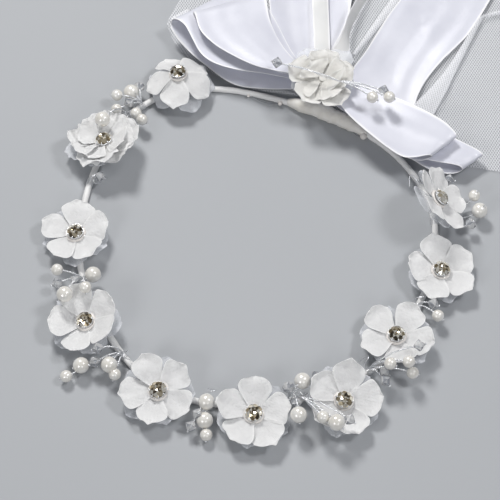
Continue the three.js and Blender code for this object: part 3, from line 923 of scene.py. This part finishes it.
def bow():
    left_outer_near = [(-10, 92, 9), (-28, 88, 6), (-44, 86.5, 4.8), (-64, 94, 5), (-73, 98, 6),
                       (-82, 103, 8),
                       (-87, 107.5, 11), (-85, 109, 15), (-78, 106, 17), (-70, 98, 17), (-63, 91.5, 16),
                       (-54, 88.5, 15.5), (-41, 89, 15), (-27, 92, 14.5), (-9, 95, 13)]
    left_outer_far = [(-9, 99, 8), (-24, 112, 6), (-37, 124, 6), (-50, 134, 7), (-60, 141.5, 10),
                      (-61, 142, 13), (-57, 139, 14.5), (-46, 128, 14), (-34, 116, 14), (-22, 106, 13.5),
                      (-9, 99, 12)]
    left_inner_near = [(-9, 96, 14), (-30, 95.5, 14.5), (-50, 98, 14.5), (-65, 104, 15), (-74, 111, 16.5),
                       (-76, 114, 19), (-73, 110, 21.5), (-67, 101.5, 22), (-58, 96, 22), (-48, 93, 21.5),
                       (-34, 91, 20.5), (-22, 92.5, 19), (-9, 96, 17)]
    left_inner_far = [(-8, 101, 14), (-20, 111, 15), (-32, 124, 16), (-42, 134, 17), (-46, 138, 19),
                      (-42, 134, 21), (-35, 121, 20.5), (-24, 109, 19), (-9, 99.5, 17)]
    right_upper_near = [(9, 93, 12), (22, 84, 11.5), (38, 76, 11), (54, 70, 11), (64, 69, 12), (69.5, 72, 14),
                        (68, 71, 16.5), (61, 66.5, 17), (54, 65.5, 17), (37, 72, 17.5), (21, 80.5, 18),
                        (10, 91, 17)]
    right_upper_far = [(9, 98, 12), (30, 97, 11.5), (50, 96, 11.5), (68, 92, 12), (77, 89, 13),
                       (78.5, 88, 14.5),
                       (76, 90, 16), (67, 94.5, 16.5), (50, 98, 17), (33, 99.5, 17.5), (20, 99.5, 18),
                       (10, 97, 17)]
    right_lower_near = [(10, 92, 6), (30, 84, 5.2), (50, 76.5, 4.8), (61, 73, 4.6), (68, 71, 4.4),
                        (75, 70.5, 4.4),
                        (82, 72, 5), (86, 74.5, 7), (84, 75, 9), (77, 74, 9.6), (68, 72.5, 9.8),
                        (60, 73.5, 9.8), (40, 81, 9.8), (11, 92, 9)]
    right_lower_far = [(10, 97, 6), (35, 97, 5.2), (60, 95, 5), (78, 92, 5), (89, 89, 5.5), (94, 86.5, 7),
                       (91, 87.5, 8.8), (83, 89, 9.4), (72, 91, 9.6), (50, 95, 9.6), (30, 97, 9.6),
                       (11, 97, 9)]
    loops = [
        ("bow_left_outer", left_outer_near, left_outer_far, 1.2, "bow_left", "bow_loop_left_lower", 3),
        ("bow_left_inner", left_inner_near, left_inner_far, 1.6, "bow_left", "bow_loop_left_upper", 4),
        ("bow_right_upper", right_upper_near, right_upper_far, 1.8, "bow_right", "bow_loop_right_upper", 5),
        ("bow_right_lower", right_lower_near, right_lower_far, 0.8, "bow_right", "bow_loop_right_lower", 6),
    ]
    for name, near, far, arch, body, node, seed in loops:
        def bulge(t, arch=arch):
            return arch * math.cos(math.pi * (0.15 + 0.7 * t)) * math.sin(math.pi * t) * -1.5
        made = ribbon(name, near, far, bulge, body, [node], SATIN, "satin", ripple=0.25, seed=seed)

    knot = Mesh()
    rows, sides = 20, 28
    points = []
    for i in range(rows):
        t = math.pi * (i + 0.5) / rows
        for j in range(sides):
            turn = 2 * math.pi * j / sides
            pleat = 1 + 0.05 * math.cos(9 * t) * math.sin(t)
            points.append(KNOT + Vector((7.3 * math.cos(t), 5.6 * math.sin(t) * pleat * math.cos(turn),
                                         7.9 * math.sin(t) * pleat * math.sin(turn))))
    knot.add(points, grid_faces(rows, sides, close_columns=True))
    knot.piece("bow_centre_wrap", SATIN, "crown", stands_for=["bow_knot"], slot="satin", subdivide=1)


def tails():
    left_near = [(-8, 102, 5), (-18, 108, 5.5), (-27, 118, 5), (-36, 129, 4.5), (-45, 147, 4),
                 (-50, 160, 3.5),
                 (-55, 180, 3), (-59, 200, 2.7), (-61, 214, 2.5)]
    left_far = [(-2, 103, 6), (-2, 112, 6), (-1, 126, 6), (0, 140, 5.5), (-1, 155, 5), (-5, 170, 4.5),
                (-12, 190, 3.6), (-18, 208, 3), (-21, 220, 2.7)]
    right_near = [(6, 100, 4.2), (9, 107, 4), (12, 117, 3.8), (15, 130, 3.6), (17, 144, 3.4), (19, 158, 3.3),
                  (22, 172, 3.2), (27, 196, 2.9), (32, 222, 2.7)]
    right_far = [(14, 99, 4.0), (34, 100, 3.3), (49, 104, 3.2), (50, 114, 3.2), (51, 124, 3.3),
                 (55, 139, 3.3),
                 (60, 152, 3.3), (64, 164, 3.2), (68, 189, 3), (70, 214, 2.8)]
    for name, near, far, node, seed in (
            ("tail_left", left_near, left_far, "satin_tail_left", 11),
            ("tail_right", right_near, right_far, "satin_tail_right", 12)):
        made = ribbon(name, near, far, lambda t: 0.3 + 1.2 * math.sin(3 * t) * t, "veil", [node], SATIN,
                      "satin",
                      ripple=0.5, seed=seed)

    one = [(0, 103, 9), (-2.5, 112, 9.5), (-10.5, 134, 8), (-18, 154, 7), (-25, 176, 5.4), (-30, 198, 4)]
    two = [(2, 103, 9), (2, 110, 9.6), (3.5, 118, 11), (4.5, 126, 11), (3, 135, 9.5), (2, 147, 8.2),
           (3, 161, 7.2), (4, 182, 5.4), (4.5, 206, 4)]
    for name, line, node, twist, seed in (
            ("narrow_left", one, "narrow_ribbon_left", lambda t: 0.15 * math.sin(5 * t), 13),
            ("narrow_right", two, "narrow_ribbon_right",
             lambda t: 1.25 * min(1, max(0, (t - 0.12) * 5)) * (1 - 0.75 * max(0, t - 0.55) / 0.45), 14)):
        middle = smooth_line(line, 40)
        near, far = [], []
        for i, (centre, ahead) in enumerate(zip(middle, np.gradient(middle, axis=0))):
            turn = twist(i / 39)
            flat = np.cross((0, 0, 1), ahead / np.linalg.norm(ahead))
            side = flat * math.cos(turn) + np.array((0, 0, 1)) * math.sin(turn)
            near.append(centre - side * NARROW_HALF_WIDTH)
            far.append(centre + side * NARROW_HALF_WIDTH)
        made = ribbon(name, near, far, lambda t: 0.5, "veil", [node], RIBBON, "narrow_ribbon", seed=seed)


def veil():
    """Tulle gathered at the knot: shallow pleats fan out, with folded bands lying over them."""
    hub = Vector((0, 95, 0))
    outline = [(190, 34), (182, 60), (176, 80), (168, 94), (158, 98), (138, 112), (122, 124), (105, 128),
               (88, 129), (70, 129), (52, 129), (35, 129), (18, 128), (5, 130), (-2, 128), (-8, 92),
               (-16, 60)]
    angles, reaches = zip(*outline)
    rows, columns = 260, 26
    points, uv = [], []
    mesh = Mesh()
    for i in range(rows):
        angle = 190 - 206 * i / (rows - 1)
        outer = float(np.interp(-angle, [-a for a in angles], reaches))
        turn = math.radians(angle)
        for j in range(columns):
            s = j / (columns - 1)
            reach = GATHER_RADIUS + (outer - GATHER_RADIUS) * s
            pleat = math.sin(26 * turn + 0.9 * math.sin(5 * turn)) * 0.5 + 0.5
            height = 0.8 + (1.1 * pleat + 0.8 * (0.5 + 0.5 * math.sin(7.3 * turn + 1.3))) \
                * math.sin(math.pi * min(1, s * 1.15 + 0.12))
            point = hub + Vector((reach * math.cos(turn), reach * math.sin(turn), height))
            points.append(point)
            uv.append((reach * math.cos(turn) * 0.94 + reach * math.sin(turn) * 0.34,
                       reach * math.sin(turn) * 0.94 - reach * math.cos(turn) * 0.34))
    mesh.add(points, grid_faces(rows, columns), uv)
    # Where the net is folded over on itself it shows as lighter bands, each of three stacked layers
    folds = [
        ([(48.6, 105), (54, 118), (59, 135), (62, 152), (65, 172)],
         [(61, 103), (63, 120), (64.5, 140), (66, 158), (68, 178)], 2.6),
        ([(65, 172), (70, 177), (76, 181), (82, 184)], [(68, 177), (72, 181), (77, 184), (82, 187)], 2.2),
        ([(-84, 126), (-78, 119), (-68, 112), (-52, 105)],
         [(-90, 117), (-82, 108), (-70, 101), (-50, 97)], 2.4),
        ([(-20, 205), (-14, 180), (-8, 150), (-5, 125)], [(-8, 208), (-5, 182), (-3, 152), (-3, 125)], 1.9),
        ([(24, 212), (20, 185), (14, 155), (9, 128)], [(34, 210), (26, 184), (18, 154), (11, 128)], 1.9),
    ]
    folds = [(left, right, height + lap) for left, right, height in folds for lap in (0, 0.6, 1.2)]
    for left, right, height in folds:
        points, uv = [], []
        a = smooth_line([(*p, height) for p in left], 30)
        b = smooth_line([(*p, height) for p in right], 30)
        for i in range(30):
            for j in range(7):
                t = j / 6
                point = a[i] + (b[i] - a[i]) * t
                points.append(point + np.array((0, 0, 0.7 * math.sin(math.pi * t))))
                uv.append((point[0] * 0.5 + point[1] * 0.86, point[1] * 0.5 - point[0] * 0.86))
        mesh.add(points, grid_faces(30, 7), uv)
    made = mesh.piece("tulle_net", TULLE, "veil", stands_for=["tulle_veil"], slot="tulle")


def floor():
    half = 3000
    made = piece("floor", [(-half, -half, -0.15), (half, -half, -0.15), (half, half, -0.15),
                           (-half, half, -0.15)], [(0, 1, 2, 3)], floor_material(), "crown")


camera()
lights()
ring()
flowers()
sprays()
bow()
tails()
veil()
floor()
